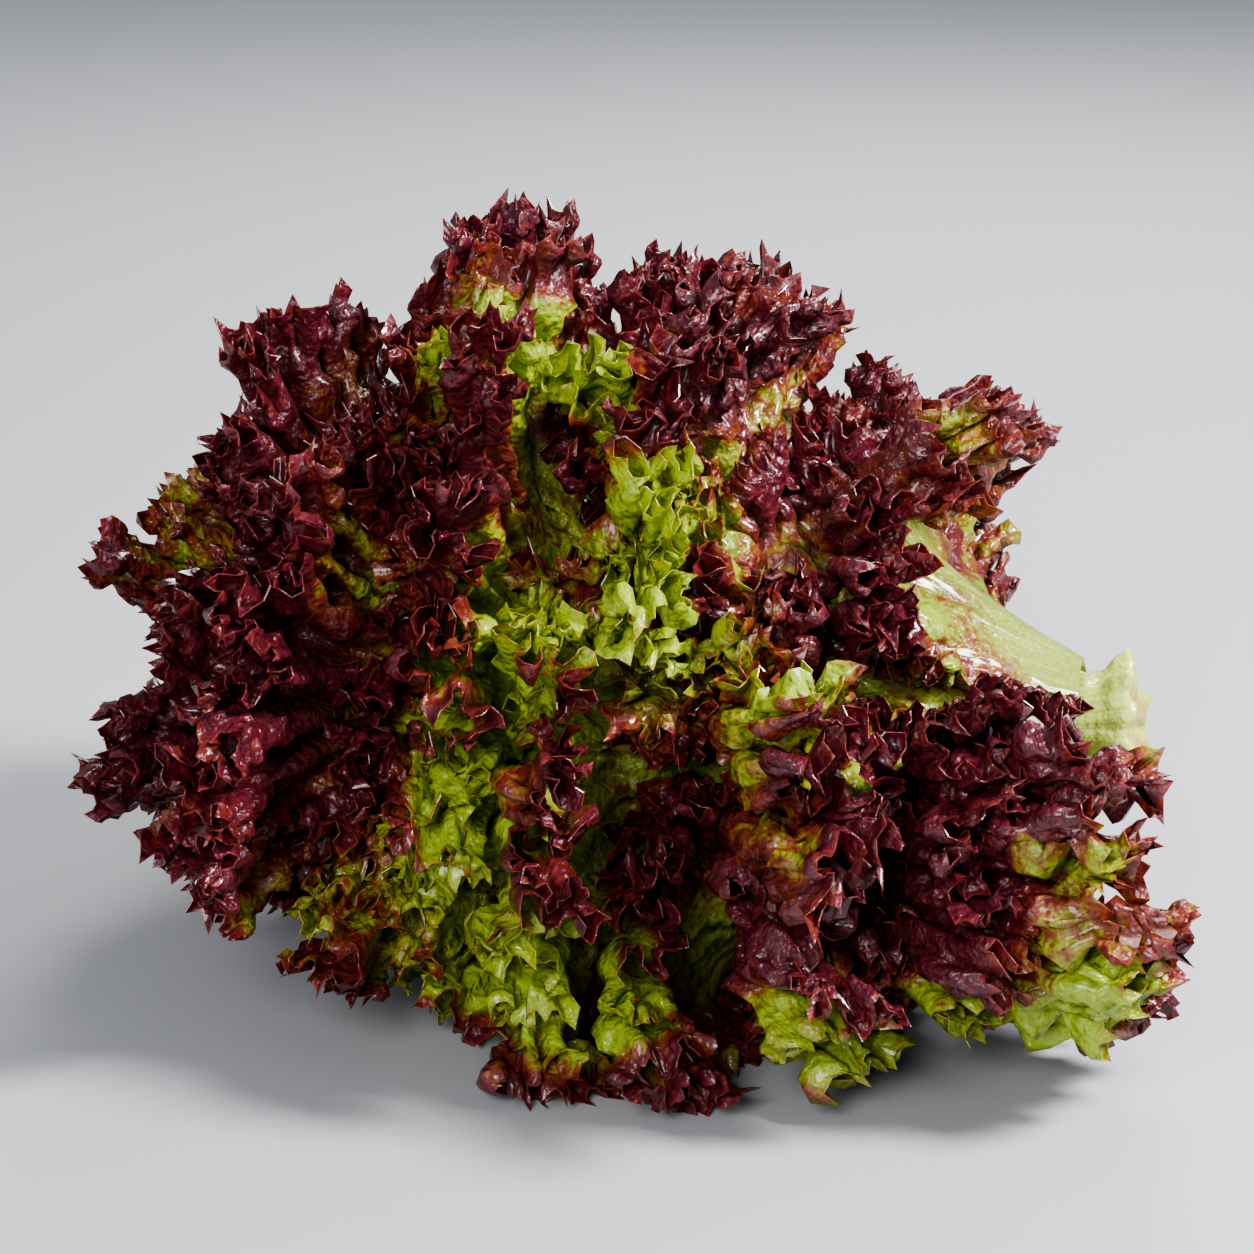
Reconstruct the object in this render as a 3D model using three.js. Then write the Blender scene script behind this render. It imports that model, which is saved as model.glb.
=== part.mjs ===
// Red leaf lettuce of the frilled kind: one cut head, lying on its side.
//
// A head is a short stem with leaves all round it. Each leaf is one thin blade with a thick pale rib. It is
// narrow where it leaves the stem and wide at the edge, where it grows faster than it spreads, so it buckles
// into frills. The leaves wind inwards as one spiral and never cross: each has a layer of its own, and its
// frills swing inside that layer. Layer 0 is the outermost, next to the cut end, and layer 1 is the heart.
//
// Millimetres. The head rests on z = 0, its cut end points along +X, and its back is +Y.

import * as THREE from "three";
import { mergeVertices } from "three/addons/utils/BufferGeometryUtils.js";

const DEG = Math.PI / 180;
const FULL_TURN = 2 * Math.PI;

// The axis of the head runs from the cut end to the crown. It sags a little at first, and then turns up.
const CUT_END = new THREE.Vector3(104.0, -18.3, 62.6);
const AXIS_LENGTH = 230;
const AXIS_YAW = 14.5 * DEG;
const AXIS_SAG = -6 * DEG;
const AXIS_RISE = 17 * DEG;

// The crown is the round surface that the leaf edges reach.
const CROWN_RADIUS = 118;
const CROWN_MIDDLE = 116;
const CROWN_SPREAD = 146 * DEG;
const TOP_GIRTH = 0.94;

// The weight of the head flattens the leaves underneath, and pushes them out to the sides. The front of the
// crown stands a little clear of the floor.
const DEPTH_BELOW = 74;
const CROWN_LIFT = 24;
const LIFT_FROM = 75;
const LIFT_TO = 175;
const PRESS = 3;
const BULGE = 0.32;
const BULGE_LOST_IN_LIFT = 0.7;
const FLOOR_SOFTNESS = 4;
const SETTLE = 1.4;

// Slow waves in the whole head, so that no turn of the spiral is even. They start some way from the axis.
const WAVE_AWAY = 0.05;
const WAVE_ALONG = 6;
const WAVES_FROM = 20;
const WAVES_TO = 70;
const WAVE_SLOPES = [38, 29];
const WAVE_STARTS = [1, 2.2, 0.6, 4];

// The stem, and where leaves leave it. A short stub stands out past the outermost leaf.
const STEM_LENGTH = 84;
const STUB = 6;
const STEM_RADIUS = 12.5;
const STEM_TAPER = 1.5;
const STEM_TIP_RADIUS = 2.6;
const STEM_TIP_ROUND = 2;
const STEM_BEVEL = 1.4;
const STEM_STATIONS = [14, 30, 50];
const STEM_SIDES = 24;
const FIRST_LEAF_AT = 1.5;
const LAST_LEAF_AT = 80;
const LEAF_SPACING = 1.15;
const JOINT_GAP = 0.6;

// The spiral of leaves. The nudges turn some outer leaves to where the photograph shows them.
const OUTER_LEAVES = 9;
const MIDDLE_LEAVES = 9;
const INNER_LEAVES = 9;
const LEAVES = OUTER_LEAVES + MIDDLE_LEAVES + INNER_LEAVES;
const TURNS_OF_SPIRAL = 11.4;
const FIRST_LAYER = 0.45;
const FIRST_TURN = -32;
const TURN_STEP = 137.5;
const NUDGES = { 0: 3, 1: -14, 2: -16, 3: -32, 8: -6 };
const SIDE_GAP = 1.5;
const WIDEST = 66;

// How far the edges of the outermost leaves bend back, along the axis and away from it. The third number
// is how much further their upper side goes than their middle. Then the leaves that are shorter than the
// others, by a share of the way out.
const BENT_BACK = { 0: [-50, 2, -18], 1: [-16, -1, 0], 2: [-14, 2, 0], 3: [-14, 4, 0] };
const SHORTER = { 1: 0.03, 4: 0.16, 9: 0.03, 13: 0.12, 14: 0.05, 26: 0.04 };
const UNEVENNESS = 0.05;

// The line of a leaf from the stem to the crown: the angles at its start and its end, and how stiff it is.
const LEAVES_AT = 18 * DEG;
const OUTERMOST_LEAVES_AT = 32 * DEG;
const REFLEX = 24 * DEG;
const STIFF_AT_STEM = [30, 0.3];
const STIFF_AT_EDGE = [28, 0.25];

// The outline of a leaf: rays fan out from its base to its edge.
const FAN = 112 * DEG;
const SHOULDER = 0.55;
const BASE_WIDTH = 0.8;
const LOBES = 0.035;
const LOBE_WAVES = 9;

// The blade, and the rib along its middle, which thickens towards the stem and is thinner on inner leaves.
const BLADE = 0.8;
const RIB = 3.4;
const RIB_INSIDE = 0.45;
const RIB_WIDTH = 0.34;
const RIB_FADE = 1.3;
const RIB_ROOM = 0.6;

// The frills: how wide and deep they are, how they fold over, and where on the blade they start.
const FRILL_WIDTH = 26;
const FEWEST_FRILLS = 6;
const MOST_FRILLS = 16;
const FRILL_DEPTH = 11.5;
const FRILL_ROOM = 0.39;
const FRILL_FROM = 0.58;
const FRILL_GROWTH = 1.1;
const FRILL_FOLD = 0.17;
const FRILL_DRIFT = 0.55;
const DRIFT_RATE = 0.31;
const FRILL_SWELL = 0.22;
const SWELL_RATE = 0.43;
const SLOWEST_EDGE = 40;
const TOOTH = 2;
const HEART_CALM = 0.8;

// The mesh of a leaf: the shares of the way out at which it has rows, and how many columns of the edge one
// cell spans there. Each frill has two columns on its crest and two in its trough, this far from its middle.
const ROWS = [[0, 8], [0.1, 8], [0.24, 8], [0.42, 4], [0.62, 2], [0.82, 1], [1, 1]];
const CREST_HALF = 0.55;
const EDGE_SAMPLES = 160;
const COLUMN_SAMPLES = 1600;
const MOST_STRETCH = 0.7;

const smooth = (from, to, x) => {
  const k = Math.min(1, Math.max(0, (x - from) / (to - from)));
  return k * k * (3 - 2 * k);
};

const mix = (a, b, k) => a + (b - a) * k;

// A number from 0 to 1 that is always the same for one seed and salt.
const draw = (seed, salt) => {
  const x = Math.sin(seed * 12.9898 + salt * 78.233) * 43758.5453;
  return x - Math.floor(x);
};

// The point of the axis at a distance from the cut end, and the directions to the front and up there.
function axisAt(along) {
  const bend = (AXIS_RISE - AXIS_SAG) / AXIS_LENGTH;
  const pitch = AXIS_SAG + bend * along;
  const run = (Math.sin(pitch) - Math.sin(AXIS_SAG)) / bend;
  const rise = (Math.cos(AXIS_SAG) - Math.cos(pitch)) / bend;
  const cosYaw = Math.cos(AXIS_YAW);
  const sinYaw = Math.sin(AXIS_YAW);
  return {
    point: new THREE.Vector3(-cosYaw * run, sinYaw * run, rise).add(CUT_END),
    front: new THREE.Vector3(-sinYaw, -cosYaw, 0),
    up: new THREE.Vector3(cosYaw * Math.sin(pitch), -sinYaw * Math.sin(pitch), Math.cos(pitch)),
  };
}

const stemRadius = (along) => {
  const left = Math.max(0, 1 - along / STEM_LENGTH);
  return mix(STEM_TIP_RADIUS, STEM_RADIUS, left ** STEM_TAPER);
};

const ribThickness = (layer) => RIB * mix(1, RIB_INSIDE, layer);

// The line of a layer: distance along the axis and away from it, at a share of the way from the stem to the
// crown. It is a cubic curve.
function profile(layer, share) {
  const leave = mix(FIRST_LEAF_AT, LAST_LEAF_AT, Math.max(0, layer) ** LEAF_SPACING);
  const spread = CROWN_SPREAD * (1 - layer);
  const from = [leave, stemRadius(leave) + JOINT_GAP + (BLADE + ribThickness(layer)) / 2];
  const to = [CROWN_MIDDLE + CROWN_RADIUS * Math.cos(spread), CROWN_RADIUS * Math.sin(spread)];
  const span = Math.hypot(to[0] - from[0], to[1] - from[1]);
  const out = STIFF_AT_STEM[0] + STIFF_AT_STEM[1] * span;
  const back = STIFF_AT_EDGE[0] + STIFF_AT_EDGE[1] * span;
  const first = mix(OUTERMOST_LEAVES_AT, LEAVES_AT, smooth(0, 0.25, layer));
  const last = spread + REFLEX;
  const cubic = (a, b, c, d) => {
    const k = 1 - share;
    return k ** 3 * a + 3 * k * k * share * b + 3 * k * share * share * c + share ** 3 * d;
  };
  return [
    cubic(from[0], from[0] + out * Math.cos(first), to[0] - back * Math.cos(last), to[0]),
    cubic(from[1], from[1] + out * Math.sin(first), to[1] - back * Math.sin(last), to[1]),
  ];
}

// A height below the axis, pressed up by the floor, and how much wider the head is there.
function pressed(height, along, turn) {
  const lift = smooth(LIFT_FROM, LIFT_TO, along);
  const depth = DEPTH_BELOW - CROWN_LIFT * lift * smooth(-0.2, 0.7, Math.cos(turn));
  const flat = height / (1 + (-height / depth) ** PRESS) ** (1 / PRESS);
  return [flat, 1 + (BULGE * (1 - BULGE_LOST_IN_LIFT * lift) * (flat - height)) / depth];
}

// A point of the head: a layer, a turn round the axis from the front upwards, and a share of the way out.
// Bend moves it along the axis and away from it.
function place(layer, turn, share, bend) {
  let [along, away] = profile(layer, share);
  along += bend[0];
  away += bend[1];
  const loose = smooth(WAVES_FROM, WAVES_TO, away);
  const double = Math.sin(2 * turn + along / WAVE_SLOPES[0] + WAVE_STARTS[0]);
  const triple = Math.sin(3 * turn - along / WAVE_SLOPES[1] + WAVE_STARTS[1]);
  away *= 1 + WAVE_AWAY * loose * (double + triple);
  const shift = Math.sin(2 * turn + WAVE_STARTS[2]) + Math.sin(3 * turn + WAVE_STARTS[3]);
  along += WAVE_ALONG * loose * shift;

  let side = away * Math.cos(turn);
  let height = away * Math.sin(turn);
  if (height > 0) {
    height *= mix(1, TOP_GIRTH, loose);
  } else {
    const [flat, wider] = pressed(height, along, turn);
    side *= wider;
    height = flat;
  }
  const axis = axisAt(along);
  const p = axis.point.addScaledVector(axis.front, side).addScaledVector(axis.up, height);
  const above = p.z + SETTLE;
  p.z = 0.5 * (above + Math.hypot(above, FLOOR_SOFTNESS)) - SETTLE;
  return p;
}

// The layer of a leaf at a turn: the spiral goes in by one layer in each full turn.
const layerAt = (leaf, turn) => leaf.layer + (turn - leaf.turn) / (FULL_TURN * TURNS_OF_SPIRAL);

// The turn, and the share of the way out, of the ray u of a leaf at a share v of its way from the base to
// the edge. Rays go from -1 to 1.
function ray(leaf, u, v) {
  const angle = u * FAN;
  const lobe = 1 + LOBES * Math.sin(LOBE_WAVES * u + leaf.phase);
  const edgeTurn = leaf.halfWidth * Math.sin(angle);
  const edgeShare = lobe * (SHOULDER + (leaf.reach - SHOULDER) * Math.cos(angle));
  const baseTurn = leaf.halfWidth * BASE_WIDTH * u;
  return [leaf.turn + mix(baseTurn, edgeTurn, v), edgeShare * v];
}

// A point of the leaf without its frills, lifted inwards by a number of layers and grown by a share of its
// way.
function plainPoint(leaf, u, v, lift = 0, growth = 0) {
  const [turn, share] = ray(leaf, u, v);
  const [along, away, lean] = leaf.bend;
  const bend = [(along + lean * u) * v * v, away * v * v];
  return place(layerAt(leaf, turn) + lift, turn, share + growth, bend);
}

// The distance from the leaf's layer to the next one in.
function layerGap(leaf, u, v) {
  const part = 0.1;
  return plainPoint(leaf, u, v).distanceTo(plainPoint(leaf, u, v, part / TURNS_OF_SPIRAL)) / part;
}

// Measures the leaf from its base to its tip and along its edge, so that frills keep their size all round.
function measure(leaf) {
  const [base, middle, tip] = [0, 0.5, 1].map((v) => plainPoint(leaf, 0, v));
  leaf.length = base.distanceTo(middle) + middle.distanceTo(tip);
  leaf.lengths = [0];
  let last = plainPoint(leaf, -1, 1);
  for (let i = 1; i <= EDGE_SAMPLES; i += 1) {
    const next = plainPoint(leaf, -1 + (2 * i) / EDGE_SAMPLES, 1);
    leaf.lengths.push(leaf.lengths[i - 1] + next.distanceTo(last));
    last = next;
  }
  leaf.edgeLength = leaf.lengths[EDGE_SAMPLES];
  const pairs = Math.round(leaf.edgeLength / (2 * FRILL_WIDTH));
  leaf.frills = Math.min(MOST_FRILLS, Math.max(FEWEST_FRILLS, 2 * pairs));
}

// The share of the edge's length that lies before u.
function edgeShareAt(leaf, u) {
  const x = Math.min(EDGE_SAMPLES - 1e-6, Math.max(0, ((u + 1) / 2) * EDGE_SAMPLES));
  const i = Math.floor(x);
  return mix(leaf.lengths[i], leaf.lengths[i + 1], x - i) / leaf.edgeLength;
}

// The phase of the frill at u. It drifts, so that no two frills are the same width.
function frillPhase(leaf, u) {
  const phase = FULL_TURN * edgeShareAt(leaf, u) * leaf.frills;
  return phase + FRILL_DRIFT * Math.sin(DRIFT_RATE * phase + leaf.phase);
}

// A point of the frilled blade's middle surface. A frill swings across its layer, and folds over sideways.
function leafPoint(leaf, u, v, tooth) {
  const depth = smooth(FRILL_FROM, 1, v) ** FRILL_GROWTH;
  const phase = frillPhase(leaf, u);
  const swell = 1 + FRILL_SWELL * Math.sin(SWELL_RATE * phase + 2 * leaf.phase);
  const fold = -FRILL_FOLD * (leaf.edgeLength / leaf.frills) * Math.sin(2 * phase) * depth * leaf.calm;
  const near = 0.004;
  const rise = edgeShareAt(leaf, u + near) - edgeShareAt(leaf, u - near);
  const edgeSpeed = Math.max(SLOWEST_EDGE, (leaf.edgeLength * rise) / (2 * near));
  const at = Math.abs(u) > 0.99 ? u : u + fold / edgeSpeed;
  const gap = layerGap(leaf, at, v);
  const room = FRILL_ROOM * gap;
  const swing = room * Math.tanh((FRILL_DEPTH * swell * depth * Math.sin(phase)) / room);
  return plainPoint(leaf, at, v, swing / gap / TURNS_OF_SPIRAL, tooth / leaf.length);
}

// The blade is thin at the edge, and its rib is as thick as the next leaf leaves room for.
function thickness(leaf, u, v) {
  const rib = ribThickness(leaf.layer) * Math.exp(-((u / RIB_WIDTH) ** 2)) * (1 - v) ** RIB_FADE;
  const room = Math.max(0, RIB_ROOM * layerGap(leaf, u, v) - BLADE);
  return BLADE + Math.min(rib, room);
}

// Where the columns of the mesh cross the edge.
function columns(leaf) {
  const wanted = [];
  for (let crest = Math.PI / 2; wanted.length < 4 * leaf.frills; crest += Math.PI) {
    wanted.push(crest - CREST_HALF, crest + CREST_HALF);
  }
  const start = frillPhase(leaf, -1);
  const last = 4 * leaf.frills;
  const found = [-1];
  for (let i = 1; i < COLUMN_SAMPLES && found.length < last; i += 1) {
    const u = -1 + (2 * i) / COLUMN_SAMPLES;
    if (frillPhase(leaf, u) - start >= wanted[found.length]) {
      found.push(u);
    }
  }
  while (found.length < last) {
    found.push(mix(found.at(-1), 1, 0.4));
  }
  return [...found, 1];
}

// The triangles between the rows. Where the next row has twice the columns, three triangles make the step.
function weave(rows) {
  const faces = [];
  for (let r = 0; r + 1 < rows.length; r += 1) {
    const low = rows[r].map((cell) => cell.id);
    const high = rows[r + 1].map((cell) => cell.id);
    for (let i = 0; i + 1 < low.length; i += 1) {
      const [a, b] = [low[i], low[i + 1]];
      if (high.length > low.length) {
        const [c, d, e] = [high[2 * i], high[2 * i + 1], high[2 * i + 2]];
        faces.push([a, d, c], [a, b, d], [b, e, d]);
      } else if ((i + r) % 2) {
        faces.push([a, b, high[i + 1]], [a, high[i + 1], high[i]]);
      } else {
        faces.push([a, b, high[i]], [b, high[i + 1], high[i]]);
      }
    }
  }
  return faces;
}

// At each point, the step that pushes all the faces round it out by one millimetre.
function pushes(points, faces) {
  const square = faces.map(([a, b, c]) => {
    const side = points[b].at.clone().sub(points[a].at);
    return side.cross(points[c].at.clone().sub(points[a].at)).normalize();
  });
  const round = points.map(() => []);
  faces.forEach((face, f) => face.forEach((id) => round[id].push(square[f])));
  return round.map((normals) => {
    const way = normals.reduce((sum, n) => sum.add(n), new THREE.Vector3()).normalize();
    const mean = normals.reduce((sum, n) => sum + way.dot(n), 0) / normals.length;
    return way.multiplyScalar(1 / Math.max(MOST_STRETCH, mean));
  });
}

// One closed blade: the middle surface, pushed out to both sides by half its thickness. What would be below
// the floor is lifted on to it, so that the lowest leaves rest on flat spots.
function leafGeometry(leaf) {
  measure(leaf);
  const us = columns(leaf);
  const rows = ROWS.map(([v, step]) => us.filter((_, i) => i % step === 0).map((u) => ({ u, v })));
  const points = [];
  rows.forEach((row, r) => row.forEach((cell, i) => {
    const toothed = r === rows.length - 1 && i > 0 && i < row.length - 1;
    const tooth = i % 2 ? TOOTH : -TOOTH;
    cell.id = points.length;
    points.push({
      at: leafPoint(leaf, cell.u, cell.v, toothed ? tooth : 0),
      thick: thickness(leaf, cell.u, cell.v),
    });
  }));
  const faces = weave(rows);
  const steps = pushes(points, faces);

  const sides = [0.5, -0.5].map((half) => points.map(
    (p, id) => p.at.clone().addScaledVector(steps[id], half * p.thick),
  ));
  points.forEach((_, id) => {
    const sunk = Math.min(0, sides[0][id].z, sides[1][id].z);
    sides[0][id].z -= sunk;
    sides[1][id].z -= sunk;
  });
  const far = points.length;
  const index = faces.flatMap(([a, b, c]) => [a, b, c, far + a, far + c, far + b]);
  const rim = [
    ...rows[0].map((cell) => cell.id).reverse(),
    ...rows.slice(1).map((row) => row[0].id),
    ...rows.at(-1).slice(1).map((cell) => cell.id),
    ...rows.slice(1, -1).map((row) => row.at(-1).id).reverse(),
  ];
  rim.forEach((a, i) => {
    const b = rim[(i + 1) % rim.length];
    index.push(a, b, far + b, a, far + b, far + a);
  });
  return closed(sides.flat().flatMap((p) => p.toArray()), index);
}

// An indexed geometry whose faces point outwards.
function closed(position, index) {
  const corner = (i) => new THREE.Vector3().fromArray(position, index[i] * 3);
  let volume = 0;
  for (let i = 0; i < index.length; i += 3) {
    volume += corner(i).dot(corner(i + 1).cross(corner(i + 2)));
  }
  if (volume < 0) {
    index.reverse();
  }
  const geometry = new THREE.BufferGeometry();
  geometry.setAttribute("position", new THREE.Float32BufferAttribute(position, 3));
  geometry.setIndex(index);
  return geometry;
}

// The stem: a short cone with a flat cut end, along the bent axis.
function stemGeometry() {
  const outline = [
    [0, -STUB],
    [STEM_RADIUS - STEM_BEVEL, -STUB],
    ...[STEM_BEVEL - STUB, ...STEM_STATIONS].map((along) => [stemRadius(along), along]),
    [STEM_TIP_RADIUS, STEM_LENGTH - STEM_TIP_ROUND],
    [0, STEM_LENGTH],
  ].map(([x, y]) => new THREE.Vector2(x, y));
  const lathe = new THREE.LatheGeometry(outline, STEM_SIDES);
  lathe.deleteAttribute("normal");
  lathe.deleteAttribute("uv");
  const geometry = mergeVertices(lathe, 1e-4);
  const position = geometry.getAttribute("position");
  for (let i = 0; i < position.count; i += 1) {
    const axis = axisAt(position.getY(i));
    const p = axis.point.addScaledVector(axis.front, position.getX(i));
    p.addScaledVector(axis.up, position.getZ(i));
    position.setXYZ(i, p.x, p.y, p.z);
  }
  return closed([...position.array], [...geometry.index.array]);
}

// The three groups of leaves, from the outside in, with their colours.
const GROUPS = [
  { name: "outer_leaf", leaves: OUTER_LEAVES, colour: 0x5a1220 },
  { name: "middle_leaf", leaves: MIDDLE_LEAVES, colour: 0x6b2322 },
  { name: "inner_leaf", leaves: INNER_LEAVES, colour: 0x64181c },
];

// Where the leaves stand. Each is as wide as the distances to its neighbours on the spiral allow.
function makeLeaves() {
  const turnOf = (i) => FIRST_TURN + i * TURN_STEP + (NUDGES[i] ?? 0);
  const names = GROUPS.flatMap((group) => Array.from({ length: group.leaves }, (_, i) => ({
    name: `${group.name}_${i + 1}`,
    colour: group.colour,
  })));
  return Array.from({ length: LEAVES }, (_, i) => {
    const turn = turnOf(i);
    const room = Math.min(turn - turnOf(i - 1), turnOf(i + 1) - turn);
    return {
      ...names[i],
      turn: turn * DEG,
      layer: (FIRST_LAYER + (turn - FIRST_TURN) / 360) / TURNS_OF_SPIRAL,
      halfWidth: Math.min(WIDEST, room / 2 - SIDE_GAP) * DEG,
      reach: 1 - UNEVENNESS * draw(i, 4) - (SHORTER[i] ?? 0),
      bend: BENT_BACK[i] ?? [0, 0, 0],
      phase: draw(i, 3) * FULL_TURN,
      calm: 1 - HEART_CALM * smooth(0.75, 0.95, i / LEAVES),
    };
  });
}

const head = new THREE.Group();

const stem = new THREE.Mesh(
  stemGeometry(),
  new THREE.MeshStandardMaterial({ color: 0xd9dba0, roughness: 0.5, metalness: 0 }),
);
stem.name = "stem";
head.add(stem);

for (const leaf of makeLeaves()) {
  const mesh = new THREE.Mesh(
    leafGeometry(leaf),
    new THREE.MeshStandardMaterial({ color: leaf.colour, roughness: 0.35, metalness: 0 }),
  );
  mesh.name = leaf.name;
  head.add(mesh);
}

export default head;
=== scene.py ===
# %% [markdown]
# # A frilled red lettuce, in Blender
# This lesson builds the looks of one cut head of red leaf lettuce, lying on its side. A head like this is
# almost nothing but leaf edge: each leaf grows faster at its margin than it spreads, so the margin buckles
# into frills, and the frills buckle again into smaller ones.
#
# The solids of the head come first. They fix where each leaf is and how big it is. Each leaf is then made
# again as a much finer blade on the same lines, and gets its skin: colour, freckles, streaks and gloss.

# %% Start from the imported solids
import math

import bmesh
import bpy
import numpy as np
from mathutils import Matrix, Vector


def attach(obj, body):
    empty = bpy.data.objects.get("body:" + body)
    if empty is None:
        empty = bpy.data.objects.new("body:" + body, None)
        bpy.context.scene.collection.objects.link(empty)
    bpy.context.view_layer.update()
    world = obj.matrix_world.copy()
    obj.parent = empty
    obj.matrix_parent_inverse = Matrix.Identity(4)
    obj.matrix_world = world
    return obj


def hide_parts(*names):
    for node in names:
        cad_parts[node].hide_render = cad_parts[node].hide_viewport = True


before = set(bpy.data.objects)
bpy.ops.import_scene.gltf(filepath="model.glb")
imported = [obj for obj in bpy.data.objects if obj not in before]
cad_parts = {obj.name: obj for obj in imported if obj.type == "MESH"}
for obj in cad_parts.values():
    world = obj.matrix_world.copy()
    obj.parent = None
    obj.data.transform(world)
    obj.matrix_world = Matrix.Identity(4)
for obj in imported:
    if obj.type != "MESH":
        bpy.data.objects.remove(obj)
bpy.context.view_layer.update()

print("nodes:", len(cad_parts))

# %% [markdown]
# ## The camera
# The photograph was taken from a little above, and from the side of the head. The lens is long, so things
# at the back are hardly smaller than things at the front. The camera looks at a point 80 mm above the
# surface.

# %% Camera
VIEW_DOWN = math.radians(17.0)
VIEW_DISTANCE = 0.9
VIEW_HEIGHT = 0.08
FIELD_OF_VIEW = math.radians(17.33)

lens = bpy.data.cameras.new("camera")
lens.angle = FIELD_OF_VIEW
camera = bpy.data.objects.new("camera", lens)
bpy.context.scene.collection.objects.link(camera)
camera.location = (
    0.0,
    -VIEW_DISTANCE * math.cos(VIEW_DOWN),
    VIEW_HEIGHT + VIEW_DISTANCE * math.sin(VIEW_DOWN),
)
camera.rotation_euler = (math.pi / 2 - VIEW_DOWN, 0.0, 0.0)
bpy.context.scene.camera = camera
print("camera at", [round(value, 3) for value in camera.location])

# %% [markdown]
# ## The shape of the whole head
# All leaves leave one short stem, and their edges reach one round crown. A leaf is placed by three numbers:
# its layer, from 0 at the cut end to 1 at the heart, the turn round the stem, and the share of the way out
# from the stem to the crown. Below, numpy works these out for thousands of points at a time, in
# millimetres. The values are those of the solids, so each fine leaf lies where its solid is.

# %% Helpers
DEG = math.pi / 180
FULL_TURN = 2 * math.pi


def smooth(start, end, x):
    k = np.clip((x - start) / (end - start), 0, 1)
    return k * k * (3 - 2 * k)


def mix(a, b, k):
    return a + (b - a) * k


def draw(seed, salt):
    x = math.sin(seed * 12.9898 + salt * 78.233) * 43758.5453
    return x - math.floor(x)


print("shares drawn for three leaves:", [round(draw(seed, 4), 2) for seed in range(3)])

# %% [markdown]
# ## The bent axis
# The head rests on its leaves, so its stem isn't level: it dips a little from the cut end and then rises
# towards the crown. Seen from the side the axis is an arc, and its crown end is turned away from the viewer.

# %% Axis of the head
CUT_END = np.array([104.0, -18.3, 62.6])
AXIS_LENGTH = 230
AXIS_YAW = 14.5 * DEG
AXIS_SAG = -6 * DEG
AXIS_RISE = 17 * DEG


def axis_at(along):
    """The point of the axis at a distance from the cut end, and the directions to the front and up there."""
    bend = (AXIS_RISE - AXIS_SAG) / AXIS_LENGTH
    pitch = AXIS_SAG + bend * along
    run = (np.sin(pitch) - math.sin(AXIS_SAG)) / bend
    rise = (math.cos(AXIS_SAG) - np.cos(pitch)) / bend
    cos_yaw, sin_yaw = math.cos(AXIS_YAW), math.sin(AXIS_YAW)
    point = CUT_END + np.stack([-cos_yaw * run, sin_yaw * run, rise], -1)
    front = np.array([-sin_yaw, -cos_yaw, 0.0])
    up = np.stack([cos_yaw * np.sin(pitch), -sin_yaw * np.sin(pitch), np.cos(pitch)], -1)
    return point, front, up


print("far end of the axis:", np.round(axis_at(AXIS_LENGTH)[0]))

# %% [markdown]
# ## The line of a leaf
# Cut through along the axis, each leaf is a line that leaves the stem at a small angle, runs out and curls
# back at its edge. A curve with four control points draws it for every layer. The outermost layers lie open
# round the cut end, and the innermost ones stand along the axis.

# %% From the stem to the crown
CROWN_RADIUS = 118
CROWN_MIDDLE = 116
CROWN_SPREAD = 146 * DEG
STEM_LENGTH = 84
STEM_RADIUS = 12.5
STEM_TAPER = 1.5
STEM_TIP_RADIUS = 2.6
FIRST_LEAF_AT = 1.5
LAST_LEAF_AT = 80
LEAF_SPACING = 1.15
JOINT_GAP = 0.6
SOLID_BLADE = 0.8
RIB = 3.4
RIB_INSIDE = 0.45
LEAVES_AT = 18 * DEG
OUTERMOST_LEAVES_AT = 32 * DEG
OPEN_LAYERS = 0.25
REFLEX = 24 * DEG
STIFF_AT_STEM = (30, 0.3)
STIFF_AT_EDGE = (28, 0.25)


def stem_radius(along):
    left = np.maximum(0, 1 - along / STEM_LENGTH)
    return mix(STEM_TIP_RADIUS, STEM_RADIUS, left**STEM_TAPER)


def rib_thickness(layer):
    return RIB * mix(1, RIB_INSIDE, layer)


def profile(layer, share):
    """Distance along the axis and away from it of a layer, at a share of the way out."""
    leave = mix(FIRST_LEAF_AT, LAST_LEAF_AT, np.maximum(0, layer) ** LEAF_SPACING)
    spread = CROWN_SPREAD * (1 - layer)
    base = stem_radius(leave) + JOINT_GAP + (SOLID_BLADE + rib_thickness(layer)) / 2
    end_along = CROWN_MIDDLE + CROWN_RADIUS * np.cos(spread)
    end_away = CROWN_RADIUS * np.sin(spread)
    span = np.hypot(end_along - leave, end_away - base)
    out = STIFF_AT_STEM[0] + STIFF_AT_STEM[1] * span
    back = STIFF_AT_EDGE[0] + STIFF_AT_EDGE[1] * span
    first = mix(OUTERMOST_LEAVES_AT, LEAVES_AT, smooth(0, OPEN_LAYERS, layer))
    last = spread + REFLEX
    k = 1 - share
    weights = (k**3, 3 * k * k * share, 3 * k * share * share, share**3)
    alongs = (leave, leave + out * np.cos(first), end_along - back * np.cos(last), end_along)
    aways = (base, base + out * np.sin(first), end_away - back * np.sin(last), end_away)
    along = sum(w * a for w, a in zip(weights, alongs))
    away = sum(w * a for w, a in zip(weights, aways))
    return along, away


print("edge of the outermost layer, along and away:", [round(float(value)) for value in profile(0.0, 1.0)])

# %% [markdown]
# ## A heavy head lies on its side
# Turned round the axis, those lines would make a round head. A real one sags: what is under the axis is
# pressed flat and moves sideways, the crown lifts off the table, and loose waves run round the leaves.

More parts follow.
